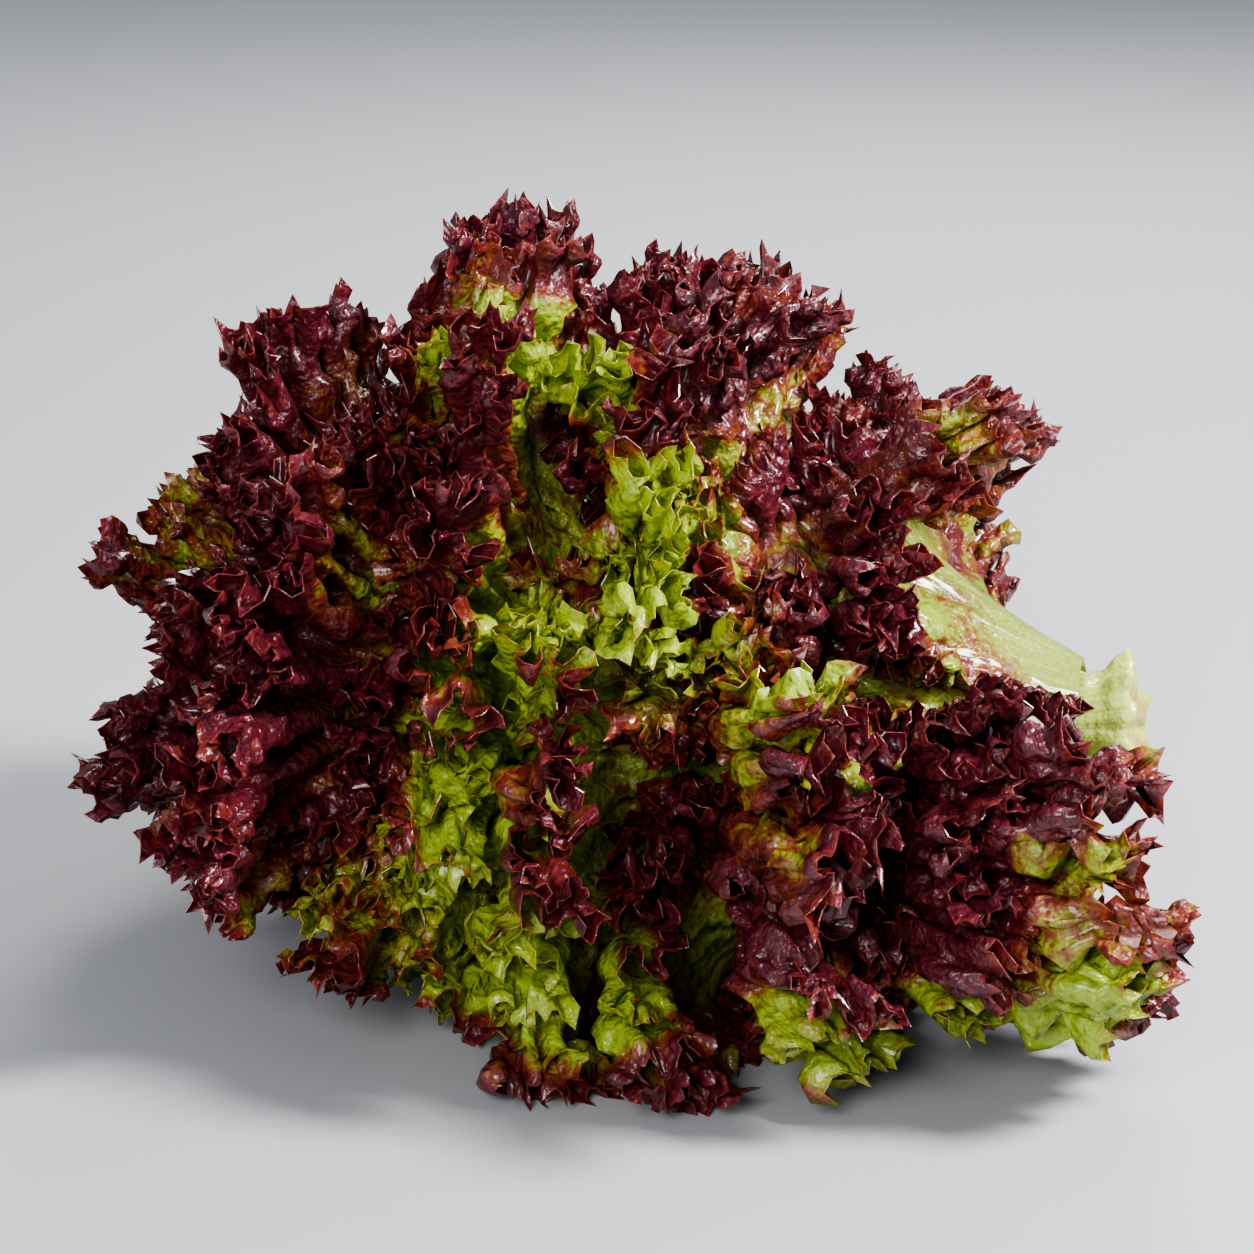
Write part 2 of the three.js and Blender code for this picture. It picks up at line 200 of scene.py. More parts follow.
# %% A point of the head
TOP_GIRTH = 0.94
DEPTH_BELOW = 74
CROWN_LIFT = 24
LIFT_FROM = 75
LIFT_TO = 175
PRESS = 3
BULGE = 0.32
BULGE_LOST_IN_LIFT = 0.7
FLOOR_SOFTNESS = 4
SETTLE = 1.4
WAVE_AWAY = 0.05
WAVE_ALONG = 6
WAVES_FROM = 20
WAVES_TO = 70
DOUBLE_WAVE = (38, 1)
TRIPLE_WAVE = (29, 2.2)
SLIDES_START = (0.6, 4)
LIFTED_SIDE = (-0.2, 0.7)


def place(layer, turn, share, bend_along, bend_away):
    """Points of the head, in millimetres. What the floor presses spreads sideways."""
    along, away = profile(layer, share)
    along = along + bend_along
    away = away + bend_away
    loose = smooth(WAVES_FROM, WAVES_TO, away)
    double = np.sin(2 * turn + along / DOUBLE_WAVE[0] + DOUBLE_WAVE[1])
    triple = np.sin(3 * turn - along / TRIPLE_WAVE[0] + TRIPLE_WAVE[1])
    away = away * (1 + WAVE_AWAY * loose * (double + triple))
    slide = np.sin(2 * turn + SLIDES_START[0]) + np.sin(3 * turn + SLIDES_START[1])
    along = along + WAVE_ALONG * loose * slide
    side = away * np.cos(turn)
    height = away * np.sin(turn)
    below = np.maximum(0, -height)
    lift = smooth(LIFT_FROM, LIFT_TO, along)
    depth = DEPTH_BELOW - CROWN_LIFT * lift * smooth(*LIFTED_SIDE, np.cos(turn))
    flat = -below / (1 + (below / depth) ** PRESS) ** (1 / PRESS)
    wider = 1 + BULGE * (1 - BULGE_LOST_IN_LIFT * lift) * (flat + below) / depth
    above = np.maximum(0, height) * mix(1, TOP_GIRTH, loose)
    point, front, up = axis_at(along)
    points = point + front * (side * wider)[..., None] + up * (flat + above)[..., None]
    z = points[..., 2] + SETTLE
    points[..., 2] = 0.5 * (z + np.hypot(z, FLOOR_SOFTNESS)) - SETTLE
    return points


print("crown pole at", np.round(place(np.array([1.0]), np.array([0.0]), np.array([1.0]), 0, 0)[0]))

# %% [markdown]
# ## The spiral of leaves
# A plant sets each new leaf 137.5 degrees on from the last, so no leaf lies straight over another. Here the
# turn goes on from leaf to leaf without starting again at 360, and the layer grows with the turn: the whole
# head is one wound sheet, and two leaves never cross.

# %% Leaves of the spiral
TURNS_OF_SPIRAL = 11.4
FIRST_LAYER = 0.45
FIRST_TURN = -32
TURN_STEP = 137.5
NUDGES = {0: 3, 1: -14, 2: -16, 3: -32, 8: -6}
SIDE_GAP = 1.5
WIDEST = 66
BENT_BACK = {0: (-50, 2, -18), 1: (-16, -1, 0), 2: (-14, 2, 0), 3: (-14, 4, 0)}
SHORTER = {1: 0.03, 4: 0.16, 9: 0.03, 13: 0.12, 14: 0.05, 26: 0.04}
UNEVENNESS = 0.05
HEART_CALM = 0.8
HEART_RANGE = (0.75, 0.95)
GROUPS = (("outer_leaf", 9), ("middle_leaf", 9), ("inner_leaf", 9))
LEAVES = sum(count for _, count in GROUPS)


def turn_of(i):
    return FIRST_TURN + i * TURN_STEP + NUDGES.get(i, 0)


leaves = []
for group, count in GROUPS:
    for number in range(count):
        i = len(leaves)
        turn = turn_of(i)
        room = min(turn - turn_of(i - 1), turn_of(i + 1) - turn)
        leaves.append({
            "name": f"{group}_{number + 1}",
            "slot": f"{group[:-4]}leaves",
            "number": i,
            "turn": turn * DEG,
            "layer": (FIRST_LAYER + (turn - FIRST_TURN) / 360) / TURNS_OF_SPIRAL,
            "half_width": min(WIDEST, room / 2 - SIDE_GAP) * DEG,
            "reach": 1 - UNEVENNESS * draw(i, 4) - SHORTER.get(i, 0),
            "bend": BENT_BACK.get(i, (0, 0, 0)),
            "phase": draw(i, 3) * FULL_TURN,
            "calm": 1 - HEART_CALM * smooth(*HEART_RANGE, i / LEAVES),
        })
print("leaves:", len(leaves), "from", leaves[0]["name"], "to", leaves[-1]["name"])

# %% [markdown]
# ## Outline of one leaf
# A leaf of this lettuce is a fan: narrow where it leaves the stem, with an edge that follows most of a
# circle. The value u goes across the fan, and v goes out from the stem to the margin. Leaves are numbered
# from 0, which is the outermost, and the tables name the few that differ by those numbers.

# %% Outline of a leaf
FAN = 112 * DEG
SHOULDER = 0.55
BASE_WIDTH = 0.8
LOBES = 0.035
LOBE_WAVES = 9
EDGE_SAMPLES = 160
LAYER_PART = 0.1


def plain_point(leaf, u, v, lift=0.0):
    """Points of a leaf without frills. u goes across, from -1 to 1, and v goes out, from 0 to 1."""
    angle = u * FAN
    lobe = 1 + LOBES * np.sin(LOBE_WAVES * u + leaf["phase"])
    edge_turn = leaf["half_width"] * np.sin(angle)
    edge_share = lobe * (SHOULDER + (leaf["reach"] - SHOULDER) * np.cos(angle))
    turn = leaf["turn"] + mix(leaf["half_width"] * BASE_WIDTH * u, edge_turn, v)
    layer = leaf["layer"] + (turn - leaf["turn"]) / (FULL_TURN * TURNS_OF_SPIRAL)
    bend_along, bend_away, lean = leaf["bend"]
    bend_along = (bend_along + lean * u) * v * v
    return place(layer + lift, turn, edge_share * v, bend_along, bend_away * v * v)


def layer_gap(leaf, u, v):
    """The distance from a leaf's layer to the next one in."""
    near = plain_point(leaf, u, v)
    far = plain_point(leaf, u, v, LAYER_PART / TURNS_OF_SPIRAL)
    return np.linalg.norm(far - near, axis=-1) / LAYER_PART


def path_lengths(points):
    steps = np.linalg.norm(np.diff(points, axis=0), axis=1)
    return np.concatenate([[0.0], np.cumsum(steps)])


print("tip of leaf 0:", np.round(plain_point(leaves[0], np.array([0.0]), np.array([1.0]))[0]))

# %% [markdown]
# ## Lobes
# The outline of a leaf isn't one smooth curve. Bays run in from the margin between broad lobes, so its
# frilled edge winds over the outer part of the head instead of standing in one row. The leaves that lie open
# to the viewer have the deepest bays. The lowest leaf is torn away on its upper side, where the stalk shows,
# and a little shorter in its middle.

# %% Lobes
LOBE_WIDTH = 38
BAY_DEPTH = 0.07
DEEPER_BAYS = {0: 0.03, 1: 0.12, 3: 0.2, 6: 0.17, 8: 0.14, 11: 0.11, 13: 0.1}
LOBE_REACH = 0.01
BAY_SHARPNESS = 2.2
BAYS_FROM = 0.3
LOBE_DRIFT = 1.4
BAY_VARIETY = 0.3
DEEPEST_BAY = 0.45
TORN = {0: (0.42, 0.62, 0.36)}
NOT_TORN = (2, 3, 0)
BLUNTED = {0: (-0.2, 0.45, 0.055)}
NOT_BLUNTED = (0, 1, 0)
SLOWEST_WAVE = 0.37
WAVE_STEP = 0.61
WAVE_SCATTER = 0.3


def wander(x, seed, steps=5):
    """A smooth value between about -1 and 1 that never repeats."""
    total = 0.0
    for k in range(steps):
        rate = SLOWEST_WAVE + WAVE_STEP * k + WAVE_SCATTER * draw(seed, k + 10)
        total = total + np.sin(rate * x + FULL_TURN * draw(seed, k + 20))
    return total / math.sqrt(steps)


def edge_share_at(leaf, u):
    return np.interp(u, leaf["edge_us"], leaf["edge_shares"])


def bay_at(leaf, u):
    """How deep the outline runs in, as a share of the leaf's length."""
    turns = edge_share_at(leaf, u) * leaf["edge_length"] / LOBE_WIDTH
    seed = leaf["number"] + 300
    wave = 0.5 + 0.5 * np.sin(FULL_TURN * turns + LOBE_DRIFT * wander(turns, seed))
    depth = DEEPER_BAYS.get(leaf["number"], BAY_DEPTH) * (1 + BAY_VARIETY * wander(turns, seed + 40))
    start, end, torn = TORN.get(leaf["number"], NOT_TORN)
    middle, width, blunted = BLUNTED.get(leaf["number"], NOT_BLUNTED)
    missing = torn * smooth(start, end, u) + blunted * np.exp(-(((u - middle) / width) ** 2))
    return np.minimum(DEEPEST_BAY, depth * wave**BAY_SHARPNESS + missing)


print("a usual bay is", BAY_DEPTH * 100, "% of its leaf deep, and the deepest", DEEPEST_BAY * 100, "%")

# %% [markdown]
# ## Large frills
# The margin swings from side to side across its layer, and slides a little along itself at twice the rate
# of the swing, which makes the turns round and the crossings steep. The frills swing as far as those of the
# solids, and there are three for each two of theirs.

# %% Large frills
FRILL_WIDTH = 26
FEWEST_FRILLS = 6
MOST_FRILLS = 16
FRILL_DEPTH = 11.5
FRILL_ROOM = 0.39
FRILL_FROM = 0.56
FRILLED_EARLIER = {0: 0.3, 1: 0.4, 3: 0.3, 6: 0.36}
FRILL_GROWTH = 1.1
FRILL_FOLD = 0.09
FRILLS_FOR_EACH = 1.5
FRILL_DRIFT = 0.8
DRIFT_RATE = 0.31
FRILL_SWELL = 0.35
SWELL_RATE = 0.43
SLOWEST_EDGE = 40
NEAR = 0.004
CORNERS_FROM = 0.99
MARGIN_SAMPLES = 1600


def measure(leaf):
    """Measures the plain margin of a leaf, and counts the large frills that it has room for."""
    us = np.linspace(-1, 1, EDGE_SAMPLES + 1)
    lengths = path_lengths(plain_point(leaf, us, np.ones_like(us)))
    leaf["edge_us"] = us
    leaf["edge_shares"] = lengths / lengths[-1]
    leaf["edge_length"] = lengths[-1]
    pairs = math.floor(lengths[-1] / (2 * FRILL_WIDTH) + 0.5)
    leaf["frills"] = FRILLS_FOR_EACH * min(MOST_FRILLS, max(FEWEST_FRILLS, 2 * pairs))


def frilled_point(leaf, u, v):
    """Points of a leaf with its lobes and large frills."""
    depth = smooth(FRILLED_EARLIER.get(leaf["number"], FRILL_FROM), 1, v) ** FRILL_GROWTH
    v = v * (1 + (LOBE_REACH - bay_at(leaf, u)) * smooth(BAYS_FROM, 1, v))
    phase = FULL_TURN * edge_share_at(leaf, u) * leaf["frills"]
    phase = phase + FRILL_DRIFT * np.sin(DRIFT_RATE * phase + leaf["phase"])
    swell = 1 + FRILL_SWELL * np.sin(SWELL_RATE * phase + 2 * leaf["phase"])
    frill_length = leaf["edge_length"] / leaf["frills"]
    fold = -FRILL_FOLD * frill_length * np.sin(2 * phase) * depth * leaf["calm"]
    rise = edge_share_at(leaf, u + NEAR) - edge_share_at(leaf, u - NEAR)
    edge_speed = np.maximum(SLOWEST_EDGE, leaf["edge_length"] * rise / (2 * NEAR))
    at = np.where(np.abs(u) > CORNERS_FROM, u, u + fold / edge_speed)
    gap = layer_gap(leaf, at, v)
    room = FRILL_ROOM * gap
    swing = room * np.tanh(FRILL_DEPTH * swell * depth * np.sin(phase) / room)
    return plain_point(leaf, at, v, swing / gap / TURNS_OF_SPIRAL)


def measure_margin(leaf):
    """Measures the margin with its lobes and large frills, which is much longer than the plain one."""
    measure(leaf)
    us = np.linspace(-1, 1, MARGIN_SAMPLES + 1)
    lengths = path_lengths(frilled_point(leaf, us, np.ones_like(us)))
    leaf["margin_us"] = us
    leaf["margin_lengths"] = lengths
    leaf["margin"] = lengths[-1]


for leaf in leaves:
    measure_margin(leaf)
print("margin of all leaves, m:", round(sum(leaf["margin"] for leaf in leaves) / 1000, 2))

# %% [markdown]
# ## Small frills and teeth
# The outer part of the blade buckles twice more, into frills about 7 mm wide and then into ones of 3 mm.
# Each buckle is laid over the one before, square to the blade as that one left it, because that is how a
# real margin grows. The rim is cut into sharp teeth with round bays between them: each tooth has four
# columns of the mesh, one at its point and three round the bay. A wandering value keeps any two frills from
# being the same. On the leaves that lie open to the viewer the frills reach further in.

# %% Small frills
COLUMNS_PER_TOOTH = 4
TOOTH_STEP = 2.8
TOOTH_HEIGHT = 2.8
TOOTH_REACH = 3.6
NOTCH = 1.1
BUCKLES = (
    {"width": 7.4, "height": 2.6, "slide": 0.75, "reach": 11.0, "salt": 30},
    {"width": 3.1, "height": 0.95, "slide": 0.2, "reach": 3.8, "salt": 60},
)
RUFFLED_FURTHER = {0: 2.0, 1: 1.5, 3: 1.5, 6: 1.6, 8: 1.4}
BUCKLE_DRIFT = 1.3
DRIFT_SLOWER = 1.7
BUCKLE_VARIETY = 0.35
REACH_VARIETY = 0.3
REACH_SLOWER = 1.3
MARGIN_POWER = 1.5
TOOTH_VARIETY = 0.45
TOOTH_FASTER = 1.1
CUSP_POWER = 1.5
NOTCH_LENGTH = 3.5


def buckle_at(buckle, leaf, along, inward):
    """How far a buckle lifts the blade off its surface and slides it along the margin, in millimetres."""
    seed = leaf["number"]
    turns = along / buckle["width"]
    salt = seed + buckle["salt"]
    phase = FULL_TURN * turns + BUCKLE_DRIFT * wander(turns / DRIFT_SLOWER, salt)
    size = 1 + BUCKLE_VARIETY * wander(turns, salt + 11)
    spread = np.exp(REACH_VARIETY * wander(turns / REACH_SLOWER, salt + 17))
    reach = buckle["reach"] * RUFFLED_FURTHER.get(seed, 1) * spread
    near_margin = size * np.exp(-((inward / reach) ** MARGIN_POWER))
    push = buckle["height"] * near_margin * np.sin(phase)
    slide = -buckle["slide"] * near_margin * np.sin(2 * phase)
    return push, slide


def tooth_growth(leaf, along, inward):
    """How far the rim stands out or is cut back."""
    phase = along / leaf["tooth_step"]
    seed = leaf["number"]
    cusp = 1 - np.abs(np.sin(math.pi * phase))
    height = TOOTH_HEIGHT * (1 + TOOTH_VARIETY * wander(phase * TOOTH_FASTER, seed + 120))
    notch = NOTCH * wander(along / NOTCH_LENGTH, seed + 150) - TOOTH_HEIGHT / 2
    return (height * cusp**CUSP_POWER + notch) * np.exp(-((inward / TOOTH_REACH) ** 2))


print("teeth on all margins:", round(sum(leaf["margin"] for leaf in leaves) / TOOTH_STEP))

# %% [markdown]
# ## Blisters
# Between its veins the blade bulges into round blisters. The sum of some plane waves that run in all
# directions is a field of soft hills, and its absolute value has round domes with sharp valleys between
# them, as the veins draw them. Turned upside down it has sharp crests instead. The leaves that lie open to
# the viewer are so crowded with frills that their whole blade is thrown up into such crests.

# %% Blisters
BLISTER_SIZE = 13.0
BLISTER_HEIGHT = 2.1
BLISTER_WAVES = 14
WAVE_RATES = (0.7, 1.3)
CREST_SIZE = 14.0
CREST_HEIGHT = 4.6
CRESTED = {0: 1.0, 1: 0.5, 3: 1.0, 6: 0.8, 8: 0.7}
OTHERS_CRESTED = 0.5
HIGHEST_DOME = 1.6
DOME_MIDDLE = 0.6
DEEPEST_VALLEY = 1.3
CREST_MIDDLE = 0.55


def ripple(points, size, seed):
    """A smooth field about 1 high, whose hills are half of size apart."""
    rng = np.random.default_rng(seed)
    total = 0.0
    for _ in range(BLISTER_WAVES):
        way = rng.normal(size=3)
        rate = FULL_TURN / size * rng.uniform(*WAVE_RATES)
        way = way / np.linalg.norm(way) * rate
        total = total + np.sin(points @ way + rng.uniform(0, FULL_TURN))
    return total / math.sqrt(BLISTER_WAVES / 2)


def blisters(points, leaf):
    """How far the domes and crests lift the blade, in millimetres."""
    seed = leaf["number"]
    hills = np.minimum(HIGHEST_DOME, np.abs(ripple(points, BLISTER_SIZE, seed)))
    valleys = np.minimum(DEEPEST_VALLEY, np.abs(ripple(points, CREST_SIZE, seed + 400)))
    domes = BLISTER_HEIGHT * (hills - DOME_MIDDLE)
    crests = CREST_HEIGHT * (CREST_MIDDLE - valleys)
    return domes + crests * CRESTED.get(seed, OTHERS_CRESTED)


print("domes rise", round(BLISTER_HEIGHT * (HIGHEST_DOME - DOME_MIDDLE), 2), "mm at most")

# %% [markdown]
# ## One flat blank for each leaf
# A blade is cut as a flat plate first: a grid, whose outer rows are split again and again, because the
# margin needs the most columns and the base the fewest. Leaves that lie open to the viewer keep more of
# them further in. The operator solidify makes the plate a closed body. Only then is each of its points sent
# to its place on the leaf.

# %% Flat blank
ROWS_INWARD = (
    0, 1.3, 2.8, 4.8, 7.2, 10, 13, 16, 19.5, 23, 26.5, 30, 33.5, 37, 41, 45, 49.5, 54, 59, 64, 70, 77, 85,
)
BASE_ROWS = 4
DOUBLE_AT = (12, 7, 4)
DOUBLE_AT_OPEN = (26, 14, 5)
OPEN_TO_VIEW = (0, 1, 3, 6, 8)
FULL_LENGTH = 116
BASE_SHARE = 2 ** len(DOUBLE_AT)


def leaf_blank(teeth, double_at):
    """A flat closed plate from 0 to 1 each way. Its outer rows have eight times the columns of its base."""
    rows = len(ROWS_INWARD) - 1 + BASE_ROWS
    columns = teeth * COLUMNS_PER_TOOTH // BASE_SHARE
    shape = bmesh.new()
    bmesh.ops.create_grid(shape, x_segments=columns, y_segments=rows, size=0.5)
    bmesh.ops.translate(shape, verts=shape.verts, vec=(0.5, 0.5, 0))
    for rows_out in double_at:
        start = 1 - (rows_out - 0.5) / rows
        across = []
        for edge in shape.edges:
            y_a, y_b = (vert.co.y for vert in edge.verts)
            if abs(y_a - y_b) < 1e-5 and y_a > start:
                across.append(edge)
        bmesh.ops.subdivide_edges(shape, edges=across, cuts=1, use_single_edge=True)
    bmesh.ops.solidify(shape, geom=shape.faces[:], thickness=0.01)
    for edge in shape.edges:
        flat = [abs(face.normal.z) > 0.5 for face in edge.link_faces]
        edge.smooth = all(flat)
    return shape, rows


print("rows of a blank:", len(ROWS_INWARD) - 1 + BASE_ROWS)

# %% [markdown]
# ## From the blank to the leaf
# Each point of the blank knows its share of the margin and its row. The rows stand at set distances from
# the margin, so that a short leaf has as fine an edge as a long one. The columns are drawn together and
# apart a little along the margin, because equal steps would look like a machine's.

# %% Rows and columns on a leaf
MARGIN_WANDER = 1.6
WANDER_LENGTH = 13
ENDS_CALM = 0.04
RAY_STOPS = (0.0, 0.35, 0.7, 1.0)
SQUEEZED_FROM = 40


def ray_length(leaf, u):
    """The length of the ray u of a leaf, from its base to the margin."""
    spots = [plain_point(leaf, u, np.full_like(u, v)) for v in RAY_STOPS]
    return sum(np.linalg.norm(b - a, axis=-1) for a, b in zip(spots, spots[1:]))


def share_from_row(row, rows, ray):
    """The share of the way out of each row of the blank. Rows are counted from the margin."""
    outer = len(ROWS_INWARD) - 1
    inward = np.interp(row, np.arange(outer + 1), ROWS_INWARD)
    squeeze = mix(1, np.minimum(1, ray / FULL_LENGTH), smooth(0, SQUEEZED_FROM, inward))
    last = ROWS_INWARD[-1] * np.minimum(1, ray / FULL_LENGTH)
    base = last + (ray - last) * (row - outer) / (rows - outer)
    return 1 - np.where(row <= outer, inward * squeeze, base) / ray


def margin_u(leaf, x):
    """Where a share of the margin's length falls on the leaf."""
    along = x * leaf["margin"]
    ease = smooth(0, ENDS_CALM, x) * smooth(0, ENDS_CALM, 1 - x)
    along = along + MARGIN_WANDER * ease * wander(along / WANDER_LENGTH, leaf["number"] + 200)
    return np.interp(along, leaf["margin_lengths"], leaf["margin_us"])


middle_ray = ray_length(leaves[0], np.array([0.0]))[0]
print("length of the outermost leaf along its middle, mm:", round(middle_ray))

# %% [markdown]
# ## The middle surface of a blade
# The leaf grows level by level here as well. First come the large frills, then blisters and the wider
# buckle, square to that surface, then the narrow buckle, square to the new one, and last the teeth. The rib
# is too stiff to blister, so it stays calm.

# %% Middle surface
RIB_CALM = 0.12
RIB_CALM_FROM = 20
RIB_CALM_TO = 45
BLISTERS_FROM = 0.12
BLISTERS_TO = 0.4


def unit(vectors):
    return vectors / np.maximum(1e-9, np.linalg.norm(vectors, axis=-1, keepdims=True))


def directions(sheet):
    """At each point of a sheet: which way is along the margin, outwards, and square to the blade."""
    sideways = unit(np.gradient(sheet, axis=1))
    outwards = -np.gradient(sheet, axis=0)
    outwards = unit(outwards - sideways * (outwards * sideways).sum(-1, keepdims=True))
    return sideways, outwards, np.cross(sideways, outwards)


def blade_sheet(leaf, u, v, along, inward):
    """The points of the blade's middle surface, row by row from the margin, with all its frills."""
    sheet = frilled_point(leaf, u, v)
    rib = np.exp(-((u / RIB_CALM) ** 2)) * smooth(RIB_CALM_FROM, RIB_CALM_TO, inward)
    push = smooth(BLISTERS_FROM, BLISTERS_TO, v) * (1 - rib) * blisters(sheet, leaf)
    for buckle in BUCKLES:
        sideways, outwards, normal = directions(sheet)
        lift, slide = buckle_at(buckle, leaf, along, inward)
        sheet = sheet + normal * (push + lift)[..., None] + sideways * slide[..., None]
        push = 0.0
    growth = tooth_growth(leaf, along, inward)
    return sheet + outwards * growth[..., None]


print("buckles on each blade:", len(BUCKLES))

# %% [markdown]
# ## Making a leaf
# The points of the blank are looked up on the middle surface and moved half the blade's thickness to their
# side of it. At the base the blade is thicker, where the fleshy rib is. What would sink into the table is
# set on it. Each leaf also keeps some facts about its points for its finish: how far they are from the
# margin, where they are across the leaf and out from the stem, and how pale they are.

# %% Make a leaf
BLADE = 0.42
RIB_WIDTH = 0.34
RIB_FADE = 1.3
RIB_ROOM = 0.6
PALE_RIB = 0.11
PALE_RIB_RANGE = (0.85, 0.3)
PALE_BASE_RANGE = (0.26, 0.06)
RIBS_SHOWN = {0: 0.2, 3: 0.2, 6: 0.35, 8: 0.4}


def read_points(mesh, name):
    """The places of all points of a mesh, or their normals."""
    values = np.empty(len(mesh.vertices) * 3)
    mesh.vertices.foreach_get(name, values)
    return values.reshape(-1, 3)


def keep_fact(mesh, name, values):
    """Keeps one number for each point of a mesh, for its finish to read."""
    layer = mesh.attributes.new(name, "FLOAT", "POINT")
    layer.data.foreach_set("value", values.astype(np.float32))


def make_leaf(leaf, replaced=True):
    teeth = 2 * round(leaf["margin"] / TOOTH_STEP / 2)
    leaf["tooth_step"] = leaf["margin"] / teeth
    shape, rows = leaf_blank(teeth, DOUBLE_AT_OPEN if leaf["number"] in OPEN_TO_VIEW else DOUBLE_AT)
    mesh = bpy.data.meshes.new(leaf["name"])
    shape.to_mesh(mesh)
    shape.free()

    columns = teeth * COLUMNS_PER_TOOTH // BASE_SHARE * BASE_SHARE
    share, row = np.meshgrid(np.linspace(0, 1, columns + 1), np.arange(rows + 1.0))
    u = margin_u(leaf, share)
    ray = ray_length(leaf, u)
    v = share_from_row(row, rows, ray)
    inward = (1 - v) * ray
    along = share * leaf["margin"]
    middle = blade_sheet(leaf, u, v, along, inward)

    flat = read_points(mesh, "co")
    plan = np.stack([np.round((1 - flat[:, 1]) * rows), np.round(flat[:, 0] * columns)], 1).astype(int)
    spots, back = np.unique(plan, axis=0, return_inverse=True)
    back = back.reshape(-1)
    on_blank = tuple(spots.T)
    u, v, inward, middle = (field[on_blank] for field in (u, v, inward, middle))

    rib = rib_thickness(leaf["layer"]) * np.exp(-((u / RIB_WIDTH) ** 2)) * (1 - v) ** RIB_FADE
    room = np.maximum(0, RIB_ROOM * layer_gap(leaf, u, v) - BLADE)
    thick = BLADE + np.minimum(rib, room)

    co = (middle / 1000)[back]
    mesh.vertices.foreach_set("co", co.ravel())
    mesh.update()
    co = co + read_points(mesh, "normal") * (thick / 2000)[back][:, None]
    sunk = np.zeros(len(spots))
    np.minimum.at(sunk, back, co[:, 2])
    co[:, 2] -= sunk[back]
    mesh.vertices.foreach_set("co", co.ravel())
    mesh.polygons.foreach_set("use_smooth", np.ones(len(mesh.polygons), bool))

    pale = np.exp(-((u / PALE_RIB) ** 2)) * smooth(*PALE_RIB_RANGE, v)
    pale = pale * RIBS_SHOWN.get(leaf["number"], 1)
    pale = np.maximum(pale, smooth(*PALE_BASE_RANGE, v))
    for name, values in {"inward": inward / 1000, "across": u, "outward": v, "pale": pale}.items():
        keep_fact(mesh, name, values[back])
    mesh.update()
    piece = bpy.data.objects.new(f"fine_{leaf['name']}" if replaced else leaf["name"], mesh)
    bpy.context.scene.collection.objects.link(piece)
    if replaced:
        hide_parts(leaf["name"])
    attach(piece, "root")
    leaf["piece"] = piece
    return sum(len(face.vertices) - 2 for face in mesh.polygons)


total = 0
for leaf in leaves:
    total += make_leaf(leaf)
print("triangles in all leaves:", total)

# %% [markdown]
# ## Lobes that fold over
# The margin of a frilled leaf is so much longer than the leaf that whole lobes fold over and lie on the
# blade. Each is made as the outer part of a shorter and narrower leaf, close to the blade of the leaf that
# it belongs to, on the side that the viewer sees. Below, lift is in turns of the spiral, less than nothing
# being further out, and turned is in degrees round the stem.

# %% Folded lobes
FOLDED_LOBES = (
    {"of": 0, "reach": 0.66, "bend": (-20, 10, -6), "lift": 0.16, "narrower": 0.8, "turned": 4},
    {"of": 0, "reach": 0.84, "bend": (-34, 9, -10), "lift": 0.08, "narrower": 0.75, "turned": 10},
    {"of": 3, "reach": 0.66, "bend": (-12, 8, 0), "lift": -0.2, "narrower": 0.75, "turned": -4},
    {"of": 6, "reach": 0.6, "bend": (-4, 6, 0), "lift": -0.2, "narrower": 0.7, "turned": -16},
    {"of": 16, "reach": 0.8, "bend": (-8, 5, 0), "lift": -0.2, "narrower": 0.7, "turned": -4},
    {"of": 13, "reach": 0.76, "bend": (-6, 5, 0), "lift": -0.2, "narrower": 0.6, "turned": 8},
)

for fold in FOLDED_LOBES:
    whole = leaves[fold["of"]]
    lobe = {
        **whole,
        "name": f"folded_lobe_{len(leaves) - LEAVES + 1}",
        "number": len(leaves) + 10,
        "reach": fold["reach"],
        "bend": fold["bend"],
        "turn": whole["turn"] + fold["turned"] * DEG,
        "half_width": whole["half_width"] * fold["narrower"],
        "layer": whole["layer"] + (fold["lift"] + fold["turned"] / 360) / TURNS_OF_SPIRAL,
    }
    measure_margin(lobe)
    total += make_leaf(lobe, replaced=False)
    leaves.append(lobe)
print("triangles with the folded lobes:", total)

# %% [markdown]
# ## The stem and its cut end
# The stem is turned on its axis first: an outline of distances from the axis is spun once round, closed at
# its tip and in the middle of the cut. A knife left the cut a little hollow, with a raised rim. The bases
# of the leaves that were taken off stand round the rim as short torn horns. A row of HORNS gives where round
# the stem a horn is, in degrees, how far it stands out and how far back, in millimetres, and half its width,
# in degrees. Then the straight stem is bent along the axis of the head.

# %% Stem
STUB = 6
CUT_OUTLINE = (
    (0.0, -3.4), (3.2, -3.5), (6.0, -3.9), (8.2, -4.7), (9.8, -5.7), (11.0, -6.2), (12.2, -5.6),
    (12.9, -4.2), (12.9, -2.6), (12.5, -1.0), (12.3, 0.6),
)
SIDES_FROM = 2.4
TIP_HEIGHT = 0.6
TIP = ((1.4, STEM_LENGTH - 0.1), (0.0, STEM_LENGTH))
STEM_STEPS = 26
STEM_SIDES = 96
RIM_RADIUS = 11.9
RIM_WIDTH = 1.5
RIM_RANGE = (1.0, -3.5)
FLUTES = ((0.3, 3, 2, math.inf), (0.25, 7, 1, math.inf), (0.12, 17, 0, 9))
FLUTES_AWAY = (3, 9)
FLUTES_ALONG = (60, 20)
HORN_POWER = 1.5
HORN_LEAN = 0.5
CUT_ROUGHNESS = 0.35
CUT_GRAIN = 4.0
ROUGH_RANGE = (-2.0, -4.0)
BROWN_AWAY = (12.0, 9.5)
BROWN_ALONG = (0, -3)
